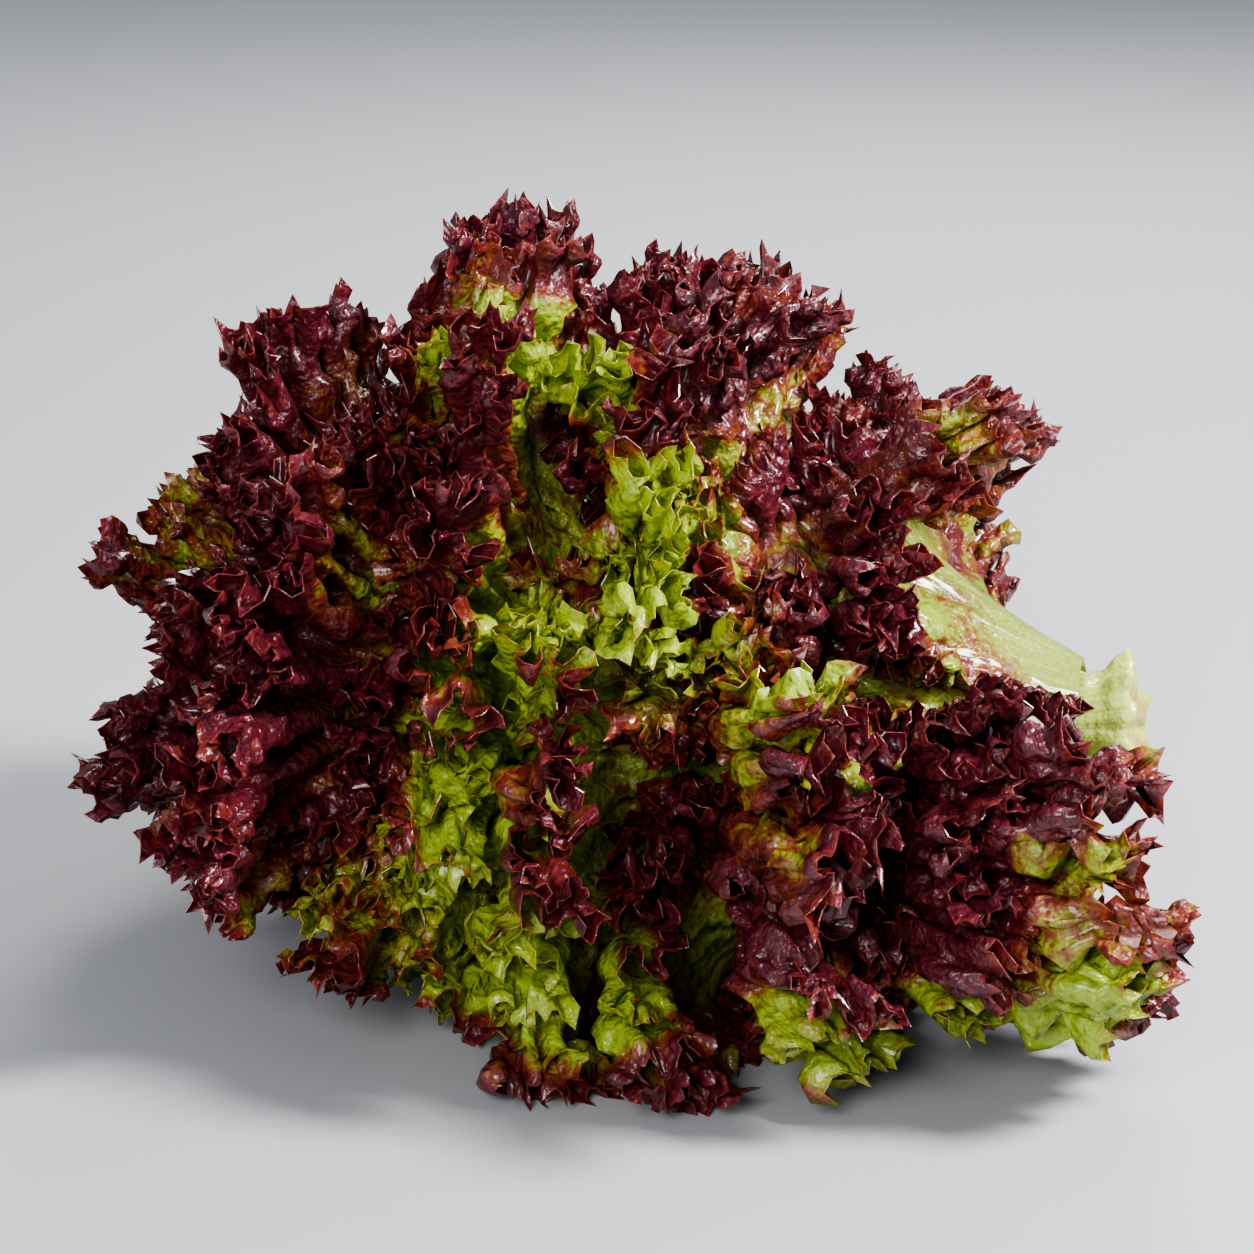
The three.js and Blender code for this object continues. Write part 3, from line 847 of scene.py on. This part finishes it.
HORNS = (
    (98, 5.5, 5.5, 11), (66, 4.6, 3.0, 14), (131, 6.6, 9.0, 9), (33, 2.0, 1.0, 18), (171, 3.6, 3.0, 12),
    (228, 1.6, 1.5, 22), (300, 2.6, 0.5, 10), (346, 1.8, 2.0, 19),
)


def make_stem():
    shape = bmesh.new()
    alongs = np.linspace(SIDES_FROM, STEM_LENGTH - TIP_HEIGHT, STEM_STEPS)
    outline = [*CUT_OUTLINE, *((float(stem_radius(along)), float(along)) for along in alongs), *TIP]
    spots = [shape.verts.new((away, 0, along)) for away, along in outline]
    edges = [shape.edges.new(pair) for pair in zip(spots, spots[1:])]
    bmesh.ops.spin(
        shape, geom=spots + edges, cent=(0, 0, 0), axis=(0, 0, 1), angle=FULL_TURN, steps=STEM_SIDES,
        use_merge=True,
    )
    bmesh.ops.remove_doubles(shape, verts=shape.verts, dist=0.001)
    bmesh.ops.recalc_face_normals(shape, faces=shape.faces)
    mesh = bpy.data.meshes.new("stem")
    shape.to_mesh(mesh)
    shape.free()
    co = read_points(mesh, "co")
    along = co[:, 2].copy()
    away = np.hypot(co[:, 0], co[:, 1])
    turn = np.arctan2(co[:, 1], co[:, 0])
    rim = np.exp(-(((away - RIM_RADIUS) / RIM_WIDTH) ** 2)) * smooth(*RIM_RANGE, along)
    flutes = 0
    for height, count, start, twist in FLUTES:
        flutes = flutes + height * np.sin(count * turn + (start + along / twist))
    grown = away + flutes * smooth(*FLUTES_AWAY, away) * smooth(*FLUTES_ALONG, along)
    set_back = along
    for middle, out, back, width in HORNS:
        off = (turn - middle * DEG + math.pi) % FULL_TURN - math.pi
        horn = np.exp(-((off / (width * DEG)) ** 2)) ** HORN_POWER * rim
        grown = grown + out * horn
        set_back = set_back - (STUB - back) * HORN_LEAN * horn
    straight = np.stack([grown * np.cos(turn), grown * np.sin(turn), along], 1)
    rough = CUT_ROUGHNESS * ripple(straight, CUT_GRAIN, 77)
    set_back = set_back + rough * smooth(*ROUGH_RANGE, along)
    point, front, up = axis_at(set_back)
    bent = point + front * (grown * np.cos(turn))[:, None] + up * (grown * np.sin(turn))[:, None]
    mesh.vertices.foreach_set("co", (bent / 1000).ravel())
    mesh.polygons.foreach_set("use_smooth", np.ones(len(mesh.polygons), bool))
    keep_fact(mesh, "cut", smooth(*BROWN_AWAY, away) * smooth(*BROWN_ALONG, along))
    keep_fact(mesh, "turn", turn)
    mesh.update()
    piece = bpy.data.objects.new("fine_stem", mesh)
    bpy.context.scene.collection.objects.link(piece)
    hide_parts("stem")
    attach(piece, "root")
    return piece


stem = make_stem()
print("faces of the stem:", len(stem.data.polygons))

# %% [markdown]
# ## Where the leaves are red and where they are green
# Light turns this lettuce red. The margins stood in the sun, so they are burgundy, and the parts that other
# leaves shaded stayed yellow-green. Each place below is a ball in the head where leaves are greener or
# redder than their distance from the margin alone would make them. It gives the middle of the ball and its
# reach, both in millimetres, and how much greener it is there, or how much redder if that is less than 0.

# %% Greener and redder places
PLACES = (
    ("top tuft, left", (-32, -15, 146), 14, 1.3),
    ("top tuft, middle", (-20, -24, 146), 14, 1.3),
    ("top tuft, right", (-7, -18, 144), 13, 1.3),
    ("right of the tuft", (-1, -19, 129), 9, 0.8),
    ("band, top", (16, -68, 122), 21, 1.4),
    ("band, behind", (12, -24, 110), 14, 1.2),
    ("band, part 2", (3, -66, 112), 19, 1.4),
    ("band, part 3", (-13, -62, 102), 18, 1.4),
    ("band, part 4", (-26, -47, 83), 19, 1.4),
    ("band, part 5", (-31, -60, 64), 19, 1.4),
    ("band, part 6", (-29, -56, 43), 19, 1.4),
    ("band, part 7", (-20, -80, 33), 18, 1.3),
    ("band, end", (-4, -70, 20), 18, 1.2),
    ("frills, middle", (34, -86, 97), 15, 1.2),
    ("small, middle", (6, -65, 89), 9, 0.9),
    ("blade, middle", (35, -107, 67), 9, 0.9),
    ("low front, left", (33, -90, 22), 15, 1.0),
    ("low front, middle", (52, -88, 15), 17, 1.1),
    ("low front, right", (72, -72, 10), 17, 1.1),
    ("low right, near", (80, -82, 20), 15, 1.2),
    ("low right, far", (97, -95, 28), 14, 1.2),
    ("patch, right", (96, -101, 67), 9, 0.9),
    ("small patch, right", (79, -94, 63), 7, 0.8),
    ("low left", (-72, -59, 34), 9, 0.8),
    ("low left, inner", (-43, -36, 19), 14, 0.9),
    ("low left, under band", (-31, -41, 9), 14, 1.0),
    ("by the rib", (66, -28, 97), 10, 0.8),
    ("brown, far left", (-94, 7, 94), 17, 0.48),
    ("brown, low left", (-57, -63, 34), 16, 0.45),
    ("brown, middle", (17, -57, 71), 18, 0.45),
    ("brown, left", (-62, -43, 95), 15, 0.42),
    ("olive, right", (86, -98, 53), 14, 0.5),
    ("brown, low leaf", (101, -86, 84), 15, 0.42),
    ("brown, its edge", (112, -88, 52), 13, 0.4),
    ("brown, rib", (70, -36, 108), 12, 0.4),
    ("dark, under rib", (50, -52, 101), 19, -0.6),
    ("dark, left of rib", (42, -36, 118), 13, -0.7),
    ("dark, over front", (62, -88, 78), 27, -0.8),
    ("dark, beside it", (52, -95, 52), 22, -0.6),
    ("dark, left", (-68, -50, 76), 24, -0.6),
    ("dark, top right", (24, -25, 143), 30, -0.4),
    ("dark, front", (15, -72, 45), 26, -0.5),
    ("red, middle", (2, -95, 80), 12, -0.3),
)
print("places:", len(PLACES), "of them greener:", sum(amount > 0 for _, _, _, amount in PLACES))

# %% [markdown]
# ## How red each point is
# A blade is red at its margin and greener further in, and it drifts to either side of that in patches 60 and
# 26 mm wide. The places add to it. The inner leaves are redder at the margin than the outer ones.

# %% Redness
RED_MARGIN = 0.045
RED_FALL = 0.55
RED_AT_MARGIN = {"outer_leaves": 0.95, "middle_leaves": 1.0, "inner_leaves": 1.05}
RED_DRIFT = 0.1
WIDE_PATCH = 60
NARROW_PATCH = 26


def redden(leaf):
    """Works out how red each point of a leaf is, and gives the share of it that is more red than green."""
    mesh = leaf["piece"].data
    co = read_points(mesh, "co") * 1000
    inward = np.empty(len(mesh.vertices))
    mesh.attributes["inward"].data.foreach_get("value", inward)
    red = RED_AT_MARGIN[leaf["slot"]] - inward / RED_MARGIN * RED_FALL
    red = red + RED_DRIFT * ripple(co, WIDE_PATCH, 5) + RED_DRIFT * ripple(co, NARROW_PATCH, 6)
    for _, middle, reach, amount in PLACES:
        away = np.linalg.norm(co - np.array(middle), axis=1)
        red = red - amount * np.exp(-((away / reach) ** 3))
    keep_fact(mesh, "red", red)
    return np.mean(red > 0.5)


shares = [redden(leaf) for leaf in leaves]
print("share of the points that is more red than green:", round(float(np.mean(shares)), 2))

# %% [markdown]
# ## Small steps of a finish
# A finish is a chain of small steps: one value brought into a range, two values added, two colours blended.
# Each step below is one function, so that the finishes read as a list of what happens to the surface.

# %% Node helpers
def node(tree, kind, sockets=None, **settings):
    """Adds a node. sockets gives each input by name or number, as a value or as the socket to link to it."""
    made = tree.nodes.new(kind)
    for name, value in settings.items():
        setattr(made, name, value)
    for name, value in (sockets or {}).items():
        if isinstance(value, bpy.types.NodeSocket):
            tree.links.new(value, made.inputs[name])
        else:
            made.inputs[name].default_value = value
    return made


def fit(tree, value, low, high, out_low=0.0, out_high=1.0):
    """Brings a value from one range to another, with soft ends."""
    sockets = {"Value": value, "From Min": low, "From Max": high, "To Min": out_low, "To Max": out_high}
    made = node(tree, "ShaderNodeMapRange", sockets, interpolation_type="SMOOTHSTEP")
    return made.outputs["Result"]


def sum_of(tree, a, b):
    return node(tree, "ShaderNodeMath", {0: a, 1: b}, operation="ADD").outputs[0]


def times(tree, a, b):
    return node(tree, "ShaderNodeMath", {0: a, 1: b}, operation="MULTIPLY").outputs[0]


def blend_colours(tree, share, first, second):
    made = node(tree, "ShaderNodeMix", {"Factor": share}, data_type="RGBA")
    for slot, colour in ((6, first), (7, second)):
        if isinstance(colour, bpy.types.NodeSocket):
            tree.links.new(colour, made.inputs[slot])
        else:
            made.inputs[slot].default_value = (*colour, 1)
    return made.outputs[2]


def ramp(tree, share, stops):
    made = node(tree, "ShaderNodeValToRGB", {"Fac": share})
    elements = made.color_ramp.elements
    while len(elements) < len(stops):
        elements.new(0.5)
    for element, (place_on_ramp, colour) in zip(elements, stops):
        element.position = place_on_ramp
        element.color = (*colour, 1)
    return made.outputs["Color"]


def noise(tree, where, scale, detail):
    """An uneven value, from 0 to 1, in spots that get smaller as the scale gets larger."""
    made = node(tree, "ShaderNodeTexNoise", {"Vector": where, "Scale": scale, "Detail": detail})
    return made.outputs["Fac"]


def new_finish(name):
    """An empty finish and its nodes."""
    material = bpy.data.materials.new(name)
    material.use_nodes = True
    material.node_tree.nodes.clear()
    return material, material.node_tree


print("steps of one or two nodes:", len((fit, sum_of, times, blend_colours, ramp, noise)))

# %% [markdown]
# ## Skin of a leaf
# The colour follows redness, from lime over rust to burgundy. The rim is a thin line of lighter crimson:
# partly the margin's own redder colour and partly a painted highlight along the edge. Red freckles lie on
# the blade, and the rib is pale, with streaks along it. Light that comes through the blade is brighter and
# yellower. The roughness and a fine relief of puckers are uneven, so the gloss breaks into glints.

# %% Skin of a leaf
LIME = (0.33, 0.43, 0.035)
YELLOW_GREEN = (0.27, 0.28, 0.025)
RUST = (0.25, 0.085, 0.02)
RED_BROWN = (0.17, 0.026, 0.018)
BURGUNDY = (0.098, 0.012, 0.022)
# Lighter crimson of the rim: the margin's own red together with a painted highlight along the edge.
RIM_CRIMSON_AND_PAINTED_HIGHLIGHT = (0.32, 0.05, 0.04)
PALE = (0.42, 0.48, 0.1)
PALE_GREEN = (0.27, 0.36, 0.03)
SURFACE_COLOURS = ((0.0, LIME), (0.3, YELLOW_GREEN), (0.48, RUST), (0.62, RED_BROWN), (0.9, BURGUNDY))
THROUGH_COLOURS = (
    (0.0, (0.62, 0.72, 0.04)),
    (0.35, (0.5, 0.5, 0.03)),
    (0.5, (0.5, 0.16, 0.02)),
    (0.7, (0.4, 0.05, 0.015)),
    (1.0, (0.22, 0.014, 0.015)),
)
THROUGH_RIB = (0.6, 0.68, 0.2)
PATCHES = (60, 3)
MOTTLES = (420, 4)
PUCKERS = (260, 2)
SPECKS = (620, 1)
STREAKS = (1, 3)
STREAKS_ACROSS = 34.0
STREAKS_OUTWARD = 2.2
PATCHINESS = 1.5
# Width and strength of the rim: the margin's own red together with a painted highlight along the edge.
RIM_SIZE = 0.0009
RIM_AND_PAINTED_HIGHLIGHT_STRENGTH = 0.4
FRECKLES = (0.56, 0.66)
FRECKLES_ON_RED = (0.0, 0.3, 0.1, 0.75)
STREAK_RANGE = (0.35, 0.65)
STAINS = (0.66, 0.72, 0.0, 0.7)
GLOSS_RANGE = (0.3, 0.7, 0.17, 0.38)
FINE_RELIEF = 0.4
RIB_RELIEF = 0.4
SKIN_INPUTS = ("Red", "Inward", "Pale", "Across", "Outward", "Mottling")
SKIN_OUTPUTS = {"Colour": "Color", "Through": "Color", "Roughness": "Float", "Height": "Float"}


def leaf_skin():
    group = bpy.data.node_groups.new("leaf skin", "ShaderNodeTree")
    face = group.interface
    for name in SKIN_INPUTS:
        face.new_socket(name, in_out="INPUT", socket_type="NodeSocketFloat")
    for name, kind in SKIN_OUTPUTS.items():
        face.new_socket(name, in_out="OUTPUT", socket_type=f"NodeSocket{kind}")
    given = group.nodes.new("NodeGroupInput").outputs
    place_in = node(group, "ShaderNodeTexCoord").outputs["Object"]
    coarse = noise(group, place_in, *PATCHES)
    fine = noise(group, place_in, *MOTTLES)
    puckers = noise(group, place_in, *PUCKERS)
    specks = noise(group, place_in, *SPECKS)
    lengthwise = node(group, "ShaderNodeCombineXYZ", {
        0: times(group, given["Across"], STREAKS_ACROSS),
        1: times(group, given["Outward"], STREAKS_OUTWARD),
    })
    streaks = noise(group, lengthwise.outputs[0], *STREAKS)

    mottled = sum_of(group, fine, -0.5)
    mottled = times(group, mottled, given["Mottling"])
    drift = sum_of(group, coarse, -0.5)
    redness = sum_of(group, given["Red"], mottled)
    redness = sum_of(group, redness, times(group, drift, PATCHINESS))
    colour = ramp(group, redness, SURFACE_COLOURS)
    through = ramp(group, redness, THROUGH_COLOURS)
    # Thin rim at the margin: partly its own redder colour, partly a painted highlight that lightens the
    # edge.
    rim = fit(group, given["Inward"], RIM_SIZE, 0.0)
    rim = times(group, rim, RIM_AND_PAINTED_HIGHLIGHT_STRENGTH)
    colour = blend_colours(group, rim, colour, RIM_CRIMSON_AND_PAINTED_HIGHLIGHT)
    freckled = fit(group, specks, *FRECKLES)
    freckled = times(group, freckled, fit(group, redness, *FRECKLES_ON_RED))
    colour = blend_colours(group, freckled, colour, RED_BROWN)
    pale = blend_colours(group, fit(group, streaks, *STREAK_RANGE), PALE, PALE_GREEN)
    stained = fit(group, streaks, *STAINS)
    pale = blend_colours(group, stained, pale, RUST)
    colour = blend_colours(group, given["Pale"], colour, pale)
    through = blend_colours(group, given["Pale"], through, THROUGH_RIB)
    rough = fit(group, fine, *GLOSS_RANGE)
    height = sum_of(group, puckers, times(group, fine, FINE_RELIEF))
    ridges = times(group, streaks, given["Pale"])
    height = sum_of(group, height, times(group, ridges, RIB_RELIEF))

    result = group.nodes.new("NodeGroupOutput")
    for name, socket in {"Colour": colour, "Through": through, "Roughness": rough, "Height": height}.items():
        group.links.new(socket, result.inputs[name])
    return group


skin = leaf_skin()
print("sockets of the leaf skin:", [item.name for item in skin.interface.items_tree])

# %% [markdown]
# ## Finish of the leaves
# A leaf lets light through, so its finish is a mix of a glossy surface and a translucent one. What both
# need comes from the skin. A thin clear coat stands for the film of water on the blade.

# %% Leaf materials
TRANSLUCENT_SHARE = 0.32
MOTTLING = 0.9
RELIEF_DEPTH = 0.0035
RELIEF_STRENGTH = 0.8
WET_COAT = 0.6
COAT_ROUGHNESS = 0.09


def leaf_material(name):
    material, tree = new_finish(name)
    sockets = {"Mottling": MOTTLING}
    for socket in ("Red", "Inward", "Pale", "Across", "Outward"):
        sockets[socket] = node(tree, "ShaderNodeAttribute", attribute_name=socket.lower()).outputs["Fac"]
    worked_out = node(tree, "ShaderNodeGroup", sockets, node_tree=skin).outputs
    relief = node(tree, "ShaderNodeBump", {
        "Height": worked_out["Height"], "Distance": RELIEF_DEPTH, "Strength": RELIEF_STRENGTH,
    })
    surface = node(tree, "ShaderNodeBsdfPrincipled", {
        "Base Color": worked_out["Colour"],
        "Roughness": worked_out["Roughness"],
        "Normal": relief.outputs["Normal"],
        "Coat Weight": WET_COAT,
        "Coat Roughness": COAT_ROUGHNESS,
    })
    behind = node(tree, "ShaderNodeBsdfTranslucent", {
        "Color": worked_out["Through"], "Normal": relief.outputs["Normal"],
    })
    both = node(tree, "ShaderNodeMixShader", {
        0: TRANSLUCENT_SHARE, 1: surface.outputs[0], 2: behind.outputs[0],
    })
    node(tree, "ShaderNodeOutputMaterial", {"Surface": both.outputs[0]})
    return material


materials = {f"{part}_leaves": leaf_material(f"{part} leaf") for part in ("outer", "middle", "inner")}
for leaf in leaves:
    leaf["piece"].data.materials.append(materials[leaf["slot"]])
print("finishes of leaves:", [material.name for material in materials.values()])

# %% [markdown]
# ## Finish of the stem
# The stem is cream and pale green in streaks along it, and a little light scatters inside. Its cut end dried
# in the air, so it is browner and duller, in blotches.

# %% Stem material
CUT_BROWN = (0.34, 0.2, 0.07)
STEM_CREAM = (0.46, 0.5, 0.15)
STEM_GREEN = (0.3, 0.39, 0.05)
STEM_STREAKS = 9.0
BLOTCHES = (260, 3)
BLOTCH_RANGE = (0.35, 0.65, 0.25, 0.85)
STEM_ROUGHNESS = (0.3, 0.55)
STEM_RELIEF = 0.001
STEM_GLOW = 0.15
GLOW_DEPTH = 0.004


def stem_material():
    material, tree = new_finish("stem")
    place_in = node(tree, "ShaderNodeTexCoord").outputs["Object"]
    turn = node(tree, "ShaderNodeAttribute", attribute_name="turn").outputs["Fac"]
    cut = node(tree, "ShaderNodeAttribute", attribute_name="cut").outputs["Fac"]
    round_it = node(tree, "ShaderNodeCombineXYZ", {0: times(tree, turn, STEM_STREAKS)})
    streaks = noise(tree, round_it.outputs[0], *STREAKS)
    blotches = noise(tree, place_in, *BLOTCHES)
    colour = blend_colours(tree, fit(tree, streaks, *STREAK_RANGE), STEM_CREAM, STEM_GREEN)
    brown = times(tree, cut, fit(tree, blotches, *BLOTCH_RANGE))
    colour = blend_colours(tree, brown, colour, CUT_BROWN)
    relief = node(tree, "ShaderNodeBump", {"Height": blotches, "Distance": STEM_RELIEF})
    surface = node(tree, "ShaderNodeBsdfPrincipled", {
        "Base Color": colour,
        "Roughness": fit(tree, cut, 0.0, 1.0, *STEM_ROUGHNESS),
        "Normal": relief.outputs["Normal"],
        "Subsurface Weight": STEM_GLOW,
        "Subsurface Scale": GLOW_DEPTH,
    })
    node(tree, "ShaderNodeOutputMaterial", {"Surface": surface.outputs[0]})
    return material


stem.data.materials.append(stem_material())
print("finish of the stem:", stem.data.materials[0].name)

# %% [markdown]
# ## Floor and light
# The head lies on a plain pale grey surface. A large soft light from the upper right and the front gives
# the highlights, one from behind shines through the edges, and a weak one fills the shadows.

# %% Floor and lights
FLOOR_GREY = (0.34, 0.345, 0.36)
FLOOR_HALF_SIZE = 4
SKY = (0.8, 0.85, 0.92)
SKY_STRENGTH = 0.5
LIGHTS = {
    "key": {"at": (0.75, -0.3, 0.85), "aim": (0, 0, 0.08), "size": 0.3, "power": 38},
    "back light": {"at": (0.2, 1.0, 0.8), "aim": (0, 0, 0.1), "size": 0.5, "power": 14},
    "fill": {"at": (-0.35, -1.1, 0.6), "aim": (0, 0, 0.08), "size": 0.6, "power": 16},
}

floor_mesh = bpy.data.meshes.new("floor")
shape = bmesh.new()
bmesh.ops.create_grid(shape, x_segments=1, y_segments=1, size=FLOOR_HALF_SIZE)
shape.to_mesh(floor_mesh)
shape.free()
floor = bpy.data.objects.new("floor", floor_mesh)
bpy.context.scene.collection.objects.link(floor)
floor_finish, tree = new_finish("floor")
surface = node(tree, "ShaderNodeBsdfPrincipled", {"Base Color": (*FLOOR_GREY, 1), "Roughness": 0.8})
node(tree, "ShaderNodeOutputMaterial", {"Surface": surface.outputs[0]})
floor_mesh.materials.append(floor_finish)

world = bpy.data.worlds.new("studio")
world.use_nodes = True
sky = world.node_tree.nodes["Background"].inputs
sky["Color"].default_value = (*SKY, 1)
sky["Strength"].default_value = SKY_STRENGTH
bpy.context.scene.world = world


for name, light in LIGHTS.items():
    lamp = bpy.data.lights.new(name, "AREA")
    lamp.shape = "DISK"
    lamp.size = light["size"]
    lamp.energy = light["power"]
    holder = bpy.data.objects.new(name, lamp)
    bpy.context.scene.collection.objects.link(holder)
    holder.location = light["at"]
    holder.rotation_euler = (Vector(light["aim"]) - Vector(light["at"])).to_track_quat("-Z", "Y").to_euler()
bpy.context.scene.view_settings.look = "AgX - Medium High Contrast"
print("lights:", ", ".join(LIGHTS))

# %% [markdown]
# The fine leaves have to stay within a few millimetres of the solids.

# %% [markdown]
# ## Finish
# The head is complete. The last line counts the fine pieces.

# %% Finish
print("fine pieces:", len(leaves) + 1)
